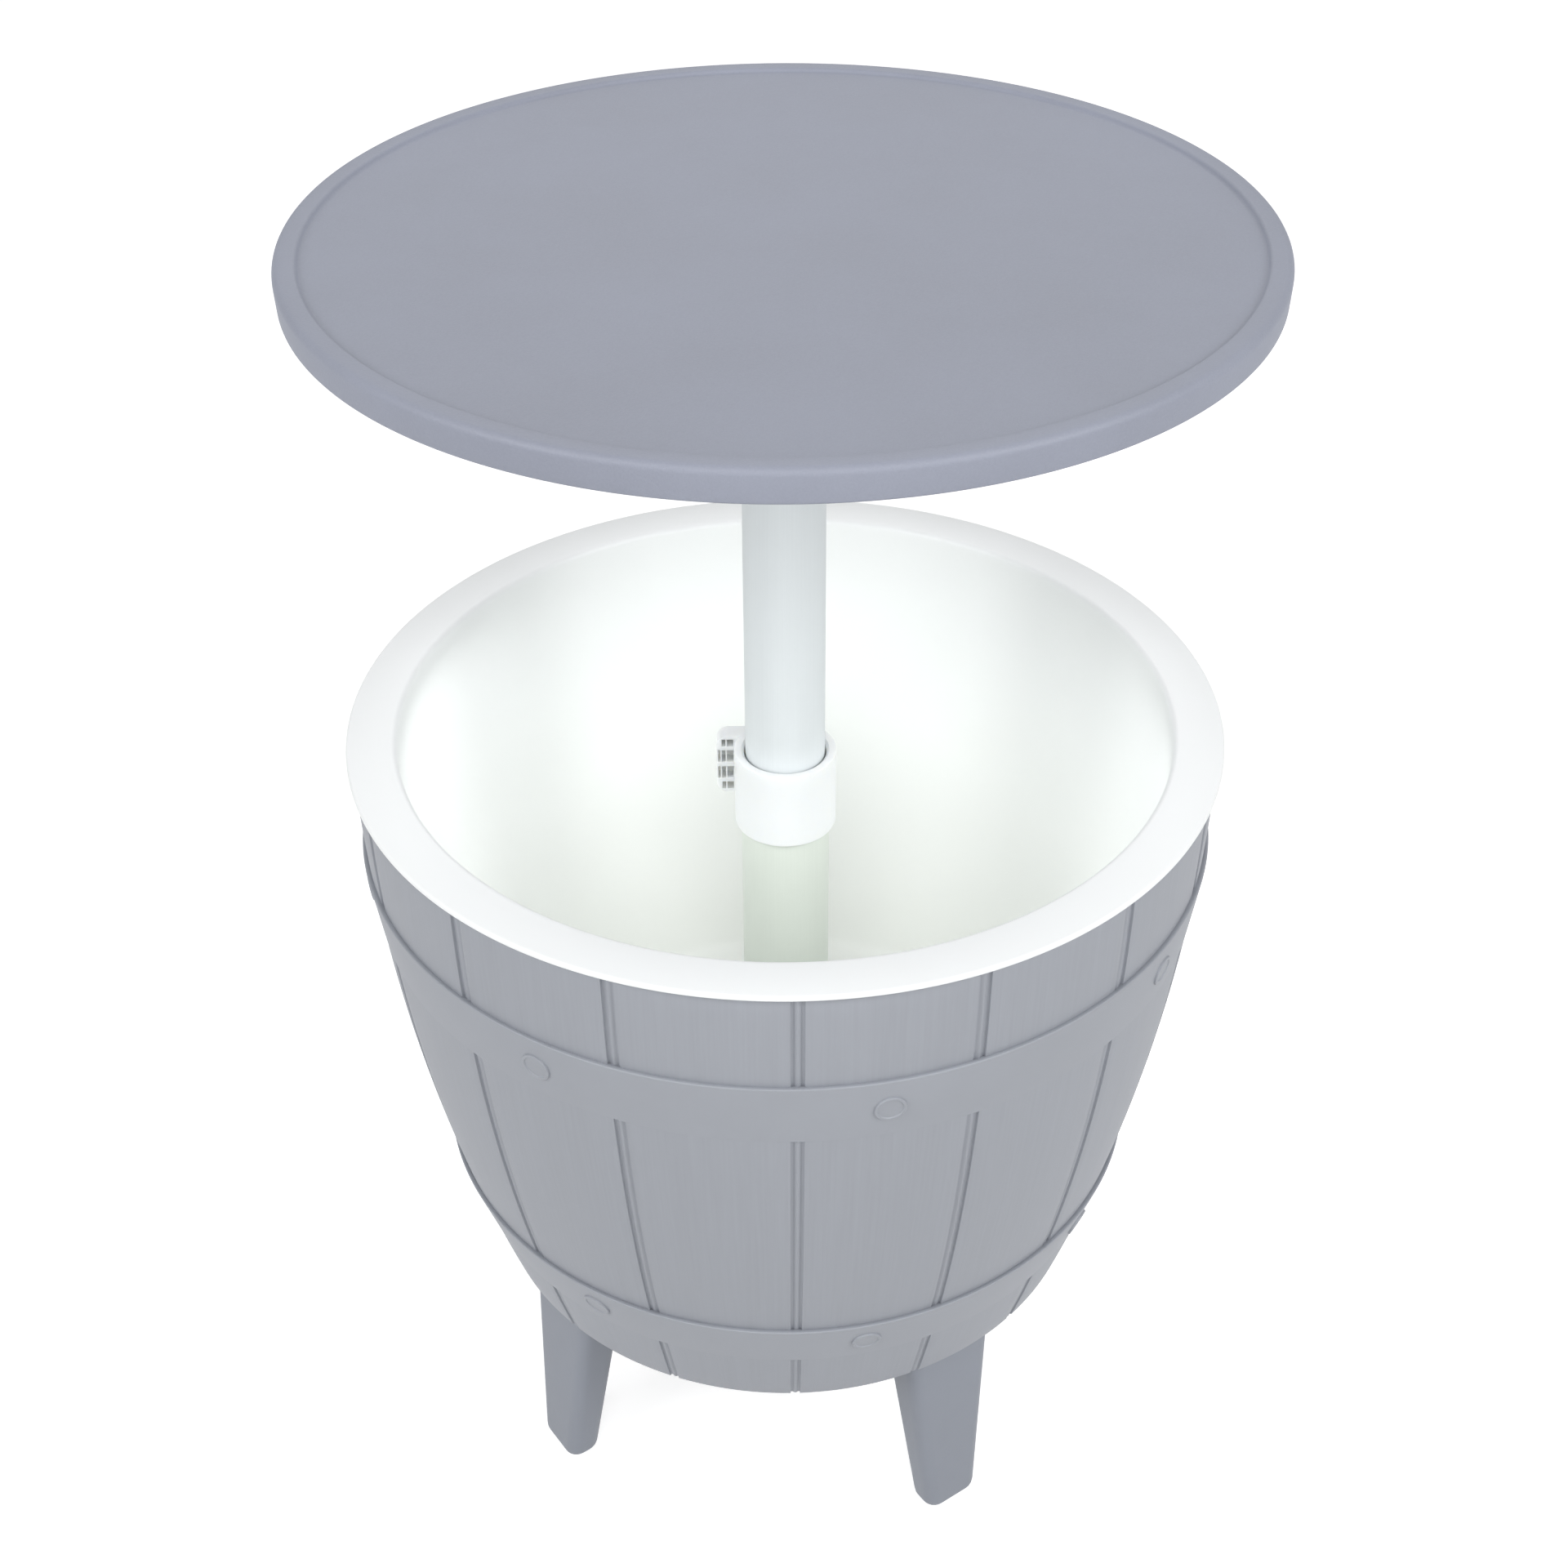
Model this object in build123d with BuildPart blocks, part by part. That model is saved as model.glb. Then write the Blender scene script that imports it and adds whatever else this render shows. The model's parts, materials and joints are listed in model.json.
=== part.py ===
from build123d import *
import math
import os

os.makedirs("parts", exist_ok=True)

# Cooler bar table: a barrel tub on four legs, with a table top on a sliding mast.
# Millimetres. The origin is on the floor under the mast, +Z is up and the front is -Y.

# Driving heights above the floor, table raised
table_height = 767.5
rim_height = 483.5
collar_top = 457.7
liner_floor = 177.5
shell_bottom = 137.5
lower_tube_foot = 105.5

# Driving radii
table_radius = 247.5
rim_radius = 240.0
shell_top_radius = 237.0
shell_middle_radius = 221.0
shell_bottom_radius = 178.5
lower_tube_radius = 24.8
upper_tube_radius = 22.2

# Walls, gaps and clearances that several pieces share
shell_wall = 3.5
liner_wall = 3.0
tube_wall = 1.5
tub_gap = 24.4
running_clearance = 0.07
fit_clearance = 0.1
loose_clearance = 0.3
overrun = 10.0

# What repeats about the mast: counts, and the first one's angle from +X
stave_count = 16
stave_turn = 11.25
rivet_count = 8
rivet_turn = 22.5
leg_count = 4
leg_turn = 45.0
hex_sides = 6

# Screws that hold the plastic pieces
screw_radius = 2.2
screw_head_radius = 4.4
screw_head_height = 2.6
screw_drive_radius = 1.4
screw_drive_depth = 1.3
screw_boss_radius = 5.2

# The barrel's side is one arc through its top, middle and bottom points.
shell_middle_share = 0.5
shell_middle = shell_bottom + (rim_height - shell_bottom) * shell_middle_share


def circle_through(first, second, third):
    # Centre radius, centre height and radius of the circle through three (radius, height) points
    (r1, h1), (r2, h2), (r3, h3) = first, second, third
    twice_area = 2 * (r1 * (h2 - h3) + r2 * (h3 - h1) + r3 * (h1 - h2))
    s1 = r1 * r1 + h1 * h1
    s2 = r2 * r2 + h2 * h2
    s3 = r3 * r3 + h3 * h3
    centre_r = (s1 * (h2 - h3) + s2 * (h3 - h1) + s3 * (h1 - h2)) / twice_area
    centre_h = (s1 * (r3 - r2) + s2 * (r1 - r3) + s3 * (r2 - r1)) / twice_area
    return centre_r, centre_h, math.hypot(r1 - centre_r, h1 - centre_h)


side_centre, side_level, side_radius = circle_through(
    (shell_top_radius, rim_height),
    (shell_middle_radius, shell_middle),
    (shell_bottom_radius, shell_bottom),
)


def side_at(height, inset=0):
    # Radius of the barrel's side at a height, less an inset towards the mast
    return side_centre + math.sqrt(side_radius**2 - (height - side_level) ** 2) - inset


def side_curve(low, high, inset=0):
    # Arc up the barrel's side between two heights, in a plane through the mast
    middle = (low + high) / 2
    return ThreePointArc(
        (side_at(low, inset), low),
        (side_at(middle, inset), middle),
        (side_at(high, inset), high),
    )


def polar(radius, turn):
    # Plan position at a radius and an angle
    return radius * math.cos(math.radians(turn)), radius * math.sin(math.radians(turn))


def around(count, start):
    # Angles of pieces spread evenly about the mast
    return [start + 360 * step / count for step in range(count)]


def beside(radius, turn, shift):
    # Plan position at a radius and an angle, moved sideways by a shift
    out_x, out_y = polar(radius, turn)
    aside_x, aside_y = polar(shift, turn + 90)
    return out_x + aside_x, out_y + aside_y


def upright_plane(turn, shift=0):
    # Plane through the mast at an angle, x outwards and y up, moved sideways by a shift
    return Plane(
        origin=(*polar(shift, turn - 90), 0),
        x_dir=(*polar(1, turn), 0),
        z_dir=(*polar(1, turn - 90), 0),
    )


def ring(inner, outer, low, high):
    # Ring about the mast between two radii and two heights, in the part being built
    with BuildSketch(Plane.XY.offset(low)) as outline:
        Circle(outer)
        if inner > 0:
            Circle(inner, mode=Mode.SUBTRACT)
    return extrude(outline.sketch, amount=high - low)


def bore(radius, low, high):
    # Round hole about the mast between two heights, in the part being built
    with BuildSketch(Plane.XY.offset(low)) as outline:
        Circle(radius)
    return extrude(outline.sketch, amount=high - low, mode=Mode.SUBTRACT)


def screw(plane, length):
    # Pan head screw whose head stands on the plane and whose shank goes down through it
    with BuildSketch(plane) as head:
        Circle(screw_head_radius)
    extrude(head.sketch, amount=screw_head_height)
    with BuildSketch(plane.offset(screw_head_height)) as drive:
        Circle(screw_drive_radius)
    extrude(drive.sketch, amount=-screw_drive_depth, mode=Mode.SUBTRACT)
    with BuildSketch(plane) as shank:
        Circle(screw_radius)
    extrude(shank.sketch, amount=-length)


# Floors and tubes, worked out from the driving sizes
shell_floor_recess = 8.0
shell_floor = shell_bottom + shell_floor_recess
shell_floor_top = shell_floor + shell_wall
shell_top = rim_height - liner_wall
liner_under = liner_floor - liner_wall
lower_tube_bore = lower_tube_radius - tube_wall
upper_tube_bore = upper_tube_radius - tube_wall
screw_hole = screw_radius + fit_clearance

# Collar and the grip sleeve that it squeezes on the upper tube
collar_height = 47.7
collar_radius = 28.4
collar_lip = 8.3
collar_mouth = 23.0
grip_sleeve_height = 21.6
grip_sleeve_foot = collar_top - collar_lip - loose_clearance - grip_sleeve_height
lower_tube_top = grip_sleeve_foot - loose_clearance

# Grommet in the liner floor, and the shell's boss that goes round its lower lip
grommet_web = 4.2
grommet_lip = 4.0
grommet_lip_height = 2.6
grommet_hole = lower_tube_radius + grommet_web
grommet_radius = grommet_hole + grommet_lip
mast_boss_bore = grommet_radius + loose_clearance
mast_boss_wall = 3.6

# Drain behind the mast
drain_place = 104.0
drain_turn = 90.0
drain_x, drain_y = polar(drain_place, drain_turn)
drain_radius = 10.0
drain_bore = 7.0
drain_foot = 127.5
drain_flange_radius = 17.0
drain_flange_height = 3.0
drain_gasket_height = 1.5
drain_hole = drain_radius + fit_clearance

# Pole socket under the shell floor
socket_flange_height = 4.0
socket_flange_radius = 54.0
socket_screw_place = 46.0
socket_screw_count = 4
socket_screw_turn = 45.0
socket_screw_bite = 12.0
socket_screw_length = socket_flange_height + shell_wall + socket_screw_bite
socket_screws_at = [
    polar(socket_screw_place, turn) for turn in around(socket_screw_count, socket_screw_turn)
]

# Legs: outer face, depth and width at the floor and where they meet the shell's floor
leg_foot_face = 175.8
leg_foot_depth = 21.2
leg_foot_width = 35.4
leg_top_face = 165.6
leg_top_depth = 30.0
leg_top_width = 63.0
leg_screw_place = leg_top_face - leg_top_depth / 2
leg_screw_spread = 27.0
leg_screw_length = 22.0

# Barrel shell: side wall, recessed floor, staves, hoops, rivet heads and inside bosses
groove_width = 2.1
groove_pitch = 4.4
groove_depth = 1.6
hoop_levels = ((382.5, 422.0), (180.7, 214.8))
hoop_low_proud = 0.5
hoop_high_proud = 2.6
hoop_edge = 0.8
hoop_root = 2.4
rivet_radius = 8.3
rivet_proud = 1.2
rivet_root = 1.0
rivet_slope = 35
shell_foot_edge = 1.2
post_count = 6
post_place = 108.0
post_radius = 8.0
post_bore = 5.5
drain_boss_bore = 14.0
drain_boss_radius = 17.0

with BuildPart() as stave_groove:
    # Two fine channels with a bead left between them mark a joint between staves.
    for side in (-1, 1):
        with BuildSketch(upright_plane(0, side * groove_pitch / 2)):
            with BuildLine():
                bed = side_curve(shell_bottom - overrun, shell_top + overrun, groove_depth)
                Polyline(
                    bed @ 0,
                    (rim_radius + overrun, shell_bottom - overrun),
                    (rim_radius + overrun, shell_top + overrun),
                    bed @ 1,
                )
            make_face()
        extrude(amount=groove_width / 2, both=True)


def moulded_hoop(low, high):
    # A hoop with its rivet heads. Its face leans out, so that its top edge stands proud.
    low_radius = side_at(low, -hoop_low_proud)
    high_radius = side_at(high, -hoop_high_proud)
    rivet_plane = Plane(
        origin=((low_radius + high_radius) / 2, 0, (low + high) / 2),
        x_dir=(0, 1, 0),
        z_dir=(high - low, 0, low_radius - high_radius),
    )
    with BuildPart() as rivet_head:
        with BuildSketch(rivet_plane) as outline:
            Circle(rivet_radius)
        extrude(outline.sketch, amount=rivet_proud, taper=rivet_slope)
        extrude(outline.sketch, amount=-rivet_root)
    with BuildPart() as hoop:
        with BuildSketch(Plane.XZ) as profile:
            with BuildLine():
                Polyline(
                    (side_at(low, hoop_root), low),
                    (low_radius, low),
                    (high_radius, high - hoop_edge),
                    (high_radius - hoop_edge, high),
                    (side_at(high, hoop_root), high),
                    close=True,
                )
            make_face()
        revolve(profile.sketch, axis=Axis.Z)
        with PolarLocations(0, rivet_count, start_angle=rivet_turn):
            add(rivet_head.part)
    return hoop.part


hoops = [moulded_hoop(low, high) for low, high in hoop_levels]

with BuildPart() as barrel_shell:
    with BuildSketch(Plane.XZ):
        with BuildLine():
            outer = side_curve(shell_bottom, shell_top)
            inner = side_curve(shell_bottom, shell_top, shell_wall)
            Line(outer @ 0, inner @ 0)
            Line(outer @ 1, inner @ 1)
        make_face()
    revolve(axis=Axis.Z)
    fillet(barrel_shell.edges().group_by(Axis.Z)[0].sort_by(SortBy.RADIUS)[-1], shell_foot_edge)

    # Recessed floor with bosses: round the mast, round the drain, for screws, and as posts
    with BuildSketch(Plane.XY.offset(shell_floor)):
        Circle(side_at(shell_floor, shell_wall / 2))
        Circle(lower_tube_radius + fit_clearance, mode=Mode.SUBTRACT)
    extrude(amount=shell_wall)
    with BuildSketch(Plane.XY.offset(shell_floor_top)):
        Circle(mast_boss_bore + mast_boss_wall)
        Circle(mast_boss_bore, mode=Mode.SUBTRACT)
        with PolarLocations(post_place, post_count):
            Circle(post_radius)
            Circle(post_bore, mode=Mode.SUBTRACT)
        with Locations((drain_x, drain_y)):
            Circle(drain_boss_radius)
            Circle(drain_boss_bore, mode=Mode.SUBTRACT)
    extrude(amount=liner_under - shell_floor_top)
    with BuildSketch(Plane.XY.offset(shell_floor_top)):
        with Locations(socket_screws_at):
            Circle(screw_boss_radius)
    extrude(amount=socket_screw_bite + screw_radius)
    with BuildSketch(Plane.XY.offset(shell_floor)):
        with Locations((drain_x, drain_y)):
            Circle(drain_hole)
        for turn in around(leg_count, leg_turn):
            for side in (-1, 1):
                with Locations(beside(leg_screw_place, turn, side * leg_screw_spread / 2)):
                    Circle(screw_hole)
    extrude(amount=shell_wall, mode=Mode.SUBTRACT)
    with BuildSketch(Plane.XY.offset(shell_floor)):
        with Locations(socket_screws_at):
            Circle(screw_hole)
    extrude(amount=shell_wall + socket_screw_bite, mode=Mode.SUBTRACT)

    with PolarLocations(0, stave_count, start_angle=stave_turn):
        add(stave_groove.part, mode=Mode.SUBTRACT)
    add(hoops)

barrel_shell.part.label = "barrel_shell"
export_step(barrel_shell.part, "parts/barrel_shell.step")

# Liner tub: white inner tub whose flat rim rests on the shell's top edge and stands out past it.
# Its floor's flat middle is a node of its own, so that collision leaves the tub open down to it.
rim_edge = 1.4
liner_corner = 10.0
liner_disc_radius = side_at(liner_under, tub_gap) - liner_corner


def round_bowl(low, high, inset, corner):
    # Solid filling the tub between two heights, inset from its side, with a rounded bottom edge
    with BuildPart() as bowl:
        with BuildSketch(Plane.XZ) as half:
            with BuildLine():
                side = side_curve(low, high, inset)
                Polyline(side @ 1, (0, high), (0, low), side @ 0)
            make_face()
        revolve(half.sketch, axis=Axis.Z)
        fillet(bowl.edges().group_by(Axis.Z)[0], corner)
    return bowl.part


liner_outside = round_bowl(liner_under, shell_top, tub_gap - liner_wall, liner_corner + liner_wall)
liner_cavity = round_bowl(liner_floor, rim_height, tub_gap, liner_corner)

with BuildPart() as liner_tub:
    add(liner_outside)
    ring(0, rim_radius, shell_top, rim_height)
    add(liner_cavity, mode=Mode.SUBTRACT)
    fillet(liner_tub.edges().group_by(Axis.Z)[-1], rim_edge)
    bore(liner_disc_radius, liner_under, liner_floor)

liner_tub.part.label = "liner_tub"
export_step(liner_tub.part, "parts/liner_tub.step")

with BuildPart() as liner_disc:
    ring(grommet_hole, liner_disc_radius, liner_under, liner_floor)
    with BuildSketch(Plane.XY.offset(liner_under)):
        with Locations((drain_x, drain_y)):
            Circle(drain_hole)
    extrude(amount=liner_wall, mode=Mode.SUBTRACT)

liner_disc.part.label = "liner_disc"
export_step(liner_disc.part, "parts/liner_disc.step")

# Legs: tapered hollow feet, open at the top, with two screw bosses inside
leg_corner = 8.4
leg_foot_round = 7.1
leg_wall = 3.0
leg_sole = 5.0
leg_names = ("rear_right", "rear_left", "front_left", "front_right")


def leg_section(height, inset):
    # A leg's rounded outline at a height above the floor, inset by a wall
    share = height / shell_floor
    face = leg_foot_face + (leg_top_face - leg_foot_face) * share
    depth = leg_foot_depth + (leg_top_depth - leg_foot_depth) * share
    width = leg_foot_width + (leg_top_width - leg_foot_width) * share
    with BuildSketch(Plane.XY.offset(height)) as outline:
        with Locations((face - depth / 2, 0)):
            RectangleRounded(depth - 2 * inset, width - 2 * inset, leg_corner - inset)
    return outline.sketch


with BuildPart() as leg:
    boss_places = [(leg_screw_place, side * leg_screw_spread / 2) for side in (-1, 1)]
    loft([leg_section(0, 0), leg_section(shell_floor, 0)])
    fillet(leg.edges().group_by(Axis.Z)[0], leg_foot_round)
    loft(
        [leg_section(leg_sole, leg_wall), leg_section(shell_floor, leg_wall)],
        mode=Mode.SUBTRACT,
    )
    with BuildSketch(Plane.XY.offset(shell_floor)):
        with Locations(boss_places):
            Circle(screw_boss_radius)
        with Locations((leg_screw_place, 0)):
            Rectangle(leg_wall, leg_top_width - leg_wall)
            Rectangle(leg_top_depth - leg_wall, leg_wall)
    extrude(amount=-(leg_screw_length + screw_radius))
    with BuildSketch(Plane.XY.offset(shell_floor)):
        with Locations(boss_places):
            Circle(screw_hole)
    extrude(amount=-leg_screw_length, mode=Mode.SUBTRACT)

for name, turn in zip(leg_names, around(leg_count, leg_turn)):
    with BuildPart() as placed_leg:
        add(leg.part.rotate(Axis.Z, turn))
    placed_leg.part.label = "leg_" + name
    export_step(placed_leg.part, "parts/leg_" + name + ".step")

with BuildPart() as leg_screws:
    for turn in around(leg_count, leg_turn):
        for side in (-1, 1):
            place = beside(leg_screw_place, turn, side * leg_screw_spread / 2)
            screw(Plane(origin=(*place, shell_floor_top)), leg_screw_length)

leg_screws.part.label = "leg_screws"
export_step(leg_screws.part, "parts/leg_screws.step")

# Lower tube: fixed mast from the pole socket up into the collar
with BuildPart() as lower_tube:
    ring(lower_tube_bore, lower_tube_radius, lower_tube_foot, lower_tube_top)

lower_tube.part.label = "lower_tube"
export_step(lower_tube.part, "parts/lower_tube.step")

# Pole grommet: rubber seal between the liner floor and the lower tube
with BuildPart() as pole_grommet:
    ring(
        lower_tube_radius + fit_clearance,
        grommet_radius,
        liner_under - grommet_lip_height,
        liner_floor + grommet_lip_height,
    )
    fillet(
        pole_grommet.edges().group_by(Axis.Z)[-1].sort_by(SortBy.RADIUS)[-1],
        grommet_lip_height / 2,
    )
    with BuildSketch(Plane.XY.offset(liner_under)):
        Circle(grommet_radius + overrun)
        Circle(grommet_hole - fit_clearance, mode=Mode.SUBTRACT)
    extrude(amount=liner_wall, mode=Mode.SUBTRACT)

pole_grommet.part.label = "pole_grommet"
export_step(pole_grommet.part, "parts/pole_grommet.step")

# Pole socket: cup with a ribbed flange, screwed under the shell floor
socket_wall = 4.0
socket_sole = 4.0
socket_drain_radius = 3.0
socket_rib_count = 4
socket_rib_wall = 3.0
socket_rib_drop = 26.0
socket_bore = lower_tube_radius + fit_clearance
socket_radius = socket_bore + socket_wall

with BuildPart() as pole_socket:
    ring(socket_drain_radius, socket_radius, lower_tube_foot - socket_sole, shell_floor)
    ring(socket_drain_radius, socket_flange_radius, shell_floor - socket_flange_height, shell_floor)
    with BuildSketch(Plane.XZ):
        with BuildLine():
            Polyline(
                (socket_bore, shell_floor - socket_flange_height),
                (socket_flange_radius, shell_floor - socket_flange_height),
                (socket_radius, shell_floor - socket_flange_height - socket_rib_drop),
                (socket_bore, shell_floor - socket_flange_height - socket_rib_drop),
                close=True,
            )
        make_face()
    socket_rib = extrude(amount=socket_rib_wall / 2, both=True, mode=Mode.PRIVATE)
    with PolarLocations(0, socket_rib_count):
        add(socket_rib)
    bore(socket_bore, lower_tube_foot, shell_floor)
    with BuildSketch(Plane.XY.offset(shell_floor)):
        with Locations(socket_screws_at):
            Circle(screw_hole)
    extrude(amount=-socket_flange_height, mode=Mode.SUBTRACT)

pole_socket.part.label = "pole_socket"
export_step(pole_socket.part, "parts/pole_socket.step")

with BuildPart() as socket_screws:
    for place in socket_screws_at:
        head_plane = Plane(
            origin=(*place, shell_floor - socket_flange_height), x_dir=(1, 0, 0), z_dir=(0, 0, -1)
        )
        screw(head_plane, socket_screw_length)

socket_screws.part.label = "socket_screws"
export_step(socket_screws.part, "parts/socket_screws.step")

# Clamp: the collar is split behind a block at its left, and a cam lever pulls the split shut.
# Its parts are drawn in planes turned with the block, x along the bolt and y out from the mast.
clamp_turn = 37.9
clamp_bolt_level = 434.9
clamp_bolt_place = 28.6
clamp_bolt_radius = 2.0
clamp_bolt_hole = clamp_bolt_radius + fit_clearance
block_face = -14.0
block_back = 15.0
block_out = 32.6
block_height = 38.3
block_round = 9.0
split_width = 2.5
split_foot = 8.0
collar_edge = 1.2
collar_bevel = 1.6
ear_turn = 100.0
ear_face = 11.7
ear_back = 22.2
ear_out = 38.8
ear_round = 7.0

# Cells in the ear's face: each row's drop from the top and height, each column's place and width
cell_rows = ((2.1, 4.8), (9.4, 7.9), (20.5, 7.9), (31.0, 5.0))
cell_columns = ((31.0, 3.6), (34.7, 2.2), (37.3, 1.4))
cell_depth = 7.5

nut_flats = 7.0
nut_corners = nut_flats * 2 / math.sqrt(3)
nut_turn = 30.0
nut_height = 3.2
nut_place = -9.0
nut_back = nut_place - nut_height
eye_place = 21.4


def clamp_plane(height):
    # Level plane turned with the clamp, x along the bolt and y out from the mast
    return Plane(origin=(0, 0, height), x_dir=(*polar(1, clamp_turn), 0), z_dir=(0, 0, 1))


def bolt_plane(along):
    # Plane square to the clamp bolt, x out from the mast and y up
    return Plane(
        origin=(*polar(along, clamp_turn), 0),
        x_dir=(*polar(1, clamp_turn + 90), 0),
        z_dir=(*polar(1, clamp_turn), 0),
    )


def ear_plane(depth):
    # Upright plane square to the ear's depth, x out to the left and y up
    return Plane(
        origin=(*polar(depth, ear_turn), 0),
        x_dir=(*polar(1, ear_turn + 90), 0),
        z_dir=(*polar(1, ear_turn), 0),
    )


def bolt_disc(radius, along, length, mode=Mode.ADD):
    # Disc about the clamp bolt, in the part being built
    with BuildSketch(bolt_plane(along)) as outline:
        with Locations((clamp_bolt_place, clamp_bolt_level)):
            Circle(radius)
    extrude(outline.sketch, amount=length, mode=mode)


def pin_disc(radius, low, height, mode=Mode.ADD):
    # Disc about the lever's pin, in the part being built
    with BuildSketch(clamp_plane(low)) as outline:
        with Locations((eye_place, clamp_bolt_place)):
            Circle(radius)
    extrude(outline.sketch, amount=height, mode=mode)


with BuildPart() as collar_ear:
    # Rounded ear at the collar's left, cored from its face by a grid of cells
    with BuildSketch(ear_plane(ear_face)):
        with Locations((ear_out / 2, collar_top - block_height / 2)):
            Rectangle(ear_out, block_height)
    extrude(amount=ear_back - ear_face)
    fillet(
        collar_ear.edges().filter_by(Axis((0, 0, 0), (*polar(1, ear_turn), 0))).sort_by(
            Axis((0, 0, 0), (*polar(1, ear_turn + 90), 0))
        )[-2:],
        ear_round,
    )
    with BuildSketch(ear_plane(ear_face)):
        for drop, height in cell_rows:
            for out, width in cell_columns:
                if out == cell_columns[-1][0] and drop in (cell_rows[0][0], cell_rows[-1][0]):
                    continue
                with Locations((out, collar_top - drop - height / 2)):
                    Rectangle(width, height)
    extrude(amount=cell_depth, mode=Mode.SUBTRACT)

with BuildPart() as collar:
    # Block with rounded long edges, which the bolt goes through
    with BuildSketch(bolt_plane(block_face)):
        with Locations((block_out / 2, collar_top - block_height / 2)):
            Rectangle(block_out, block_height)
    extrude(amount=block_back - block_face)
    fillet(
        collar.edges().filter_by(Axis((0, 0, 0), (*polar(1, clamp_turn), 0))).sort_by(
            Axis((0, 0, 0), (*polar(1, clamp_turn + 90), 0))
        )[-2:],
        block_round,
    )
    add(collar_ear.part)

    # Ring round the tubes
    ring(0, collar_radius, collar_top - collar_height, collar_top)
    fillet(collar.edges().group_by(Axis.Z)[0], collar_edge)
    bore(lower_tube_radius + fit_clearance, collar_top - collar_height, collar_top - collar_lip)
    bore(collar_mouth, collar_top - collar_lip, collar_top)
    chamfer(
        collar.edges().group_by(Axis.Z)[-1].filter_by(GeomType.CIRCLE).sort_by(SortBy.RADIUS)[0],
        collar_bevel,
    )

    # Split, bolt hole and the pocket that holds the nut
    with BuildSketch(clamp_plane(collar_top - collar_height + split_foot)):
        with Locations((0, (collar_radius + overrun) / 2)):
            Rectangle(split_width, collar_radius + overrun)
    extrude(amount=collar_height, mode=Mode.SUBTRACT)
    bolt_disc(clamp_bolt_hole, nut_back, block_back + overrun - nut_place, Mode.SUBTRACT)
    with BuildSketch(bolt_plane(nut_back - fit_clearance)):
        with Locations((clamp_bolt_place, clamp_bolt_level)):
            Rectangle(nut_flats + 2 * fit_clearance, nut_corners + 2 * fit_clearance)
        with Locations((clamp_bolt_place + overrun / 2, clamp_bolt_level)):
            Rectangle(overrun, nut_corners + 2 * fit_clearance)
    extrude(amount=nut_height + 2 * fit_clearance, mode=Mode.SUBTRACT)

collar.part.label = "collar"
export_step(collar.part, "parts/collar.step")

# Hardware of the clamp: bolt with an eye, its nut, the lever's pin and the cam lever
eye_radius = 5.0
eye_height = 5.0
eye_low = clamp_bolt_level - eye_height / 2
pin_radius = 2.0
pin_head_radius = 3.0
pin_head_height = 1.2
lever_height = 17.0
lever_wall = 4.4
lever_gap = 0.7
lever_tip = -12.5
lever_cam_radius = 5.6
lever_cam_shift = 0.5
lever_tip_curl = 3.4
lever_tip_length = 8.0
lever_edge = 1.2
lever_low = clamp_bolt_level - lever_height / 2
lever_high = clamp_bolt_level + lever_height / 2

with BuildPart() as clamp_bolt:
    bolt_disc(clamp_bolt_radius, nut_back, eye_place - nut_back)
    pin_disc(eye_radius, eye_low, eye_height)
    pin_disc(pin_radius + fit_clearance, eye_low, eye_height, Mode.SUBTRACT)

clamp_bolt.part.label = "clamp_bolt"
export_step(clamp_bolt.part, "parts/clamp_bolt.step")

with BuildPart() as clamp_nut:
    with BuildSketch(bolt_plane(nut_back)):
        with Locations((clamp_bolt_place, clamp_bolt_level)):
            RegularPolygon(nut_flats / 2, hex_sides, major_radius=False, rotation=nut_turn)
            Circle(clamp_bolt_hole, mode=Mode.SUBTRACT)
    extrude(amount=nut_height)

clamp_nut.part.label = "clamp_nut"
export_step(clamp_nut.part, "parts/clamp_nut.step")

with BuildPart() as lever_pin:
    pin_disc(pin_radius, lever_low - loose_clearance, lever_height + 2 * loose_clearance)
    pin_disc(pin_head_radius, lever_low - loose_clearance, -pin_head_height)
    pin_disc(pin_head_radius, lever_high + loose_clearance, pin_head_height)

lever_pin.part.label = "lever_pin"
export_step(lever_pin.part, "parts/lever_pin.step")

with BuildPart() as clamp_lever:
    # Handle along the block's outer side, joined to two cam cheeks that straddle the bolt's eye
    handle_in = block_out + lever_gap
    handle_out = handle_in + lever_wall
    with BuildSketch(clamp_plane(lever_low)):
        with BuildLine():
            Polyline(
                (eye_place - lever_cam_radius, clamp_bolt_place),
                (eye_place - lever_cam_radius, handle_in),
                (lever_tip + lever_tip_length, handle_in),
                (lever_tip, handle_in + lever_tip_curl),
                (lever_tip, handle_out + lever_tip_curl),
                (lever_tip + lever_tip_length, handle_out),
                (eye_place + lever_cam_shift, handle_out),
                (eye_place + lever_cam_radius, handle_in),
                (eye_place + lever_cam_radius, clamp_bolt_place),
                close=True,
            )
        make_face()
        with Locations((eye_place - lever_cam_shift, clamp_bolt_place)):
            Circle(lever_cam_radius)
    extrude(amount=lever_height)
    fillet(
        clamp_lever.edges().filter_by(Axis.Z).sort_by(
            Axis((0, 0, 0), (*polar(1, clamp_turn), 0))
        )[0:2],
        lever_edge,
    )
    with BuildSketch(clamp_plane(eye_low - loose_clearance)):
        with Locations((eye_place, clamp_bolt_place)):
            Circle(lever_cam_radius + lever_cam_shift + loose_clearance)
        with Locations((eye_place - lever_cam_radius, clamp_bolt_place)):
            Rectangle(2 * lever_cam_radius, 2 * clamp_bolt_radius + 2 * loose_clearance)
    extrude(amount=eye_height + 2 * loose_clearance, mode=Mode.SUBTRACT)
    pin_disc(pin_radius + running_clearance, lever_low, lever_height, Mode.SUBTRACT)

clamp_lever.part.label = "clamp_lever"
export_step(clamp_lever.part, "parts/clamp_lever.step")

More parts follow.
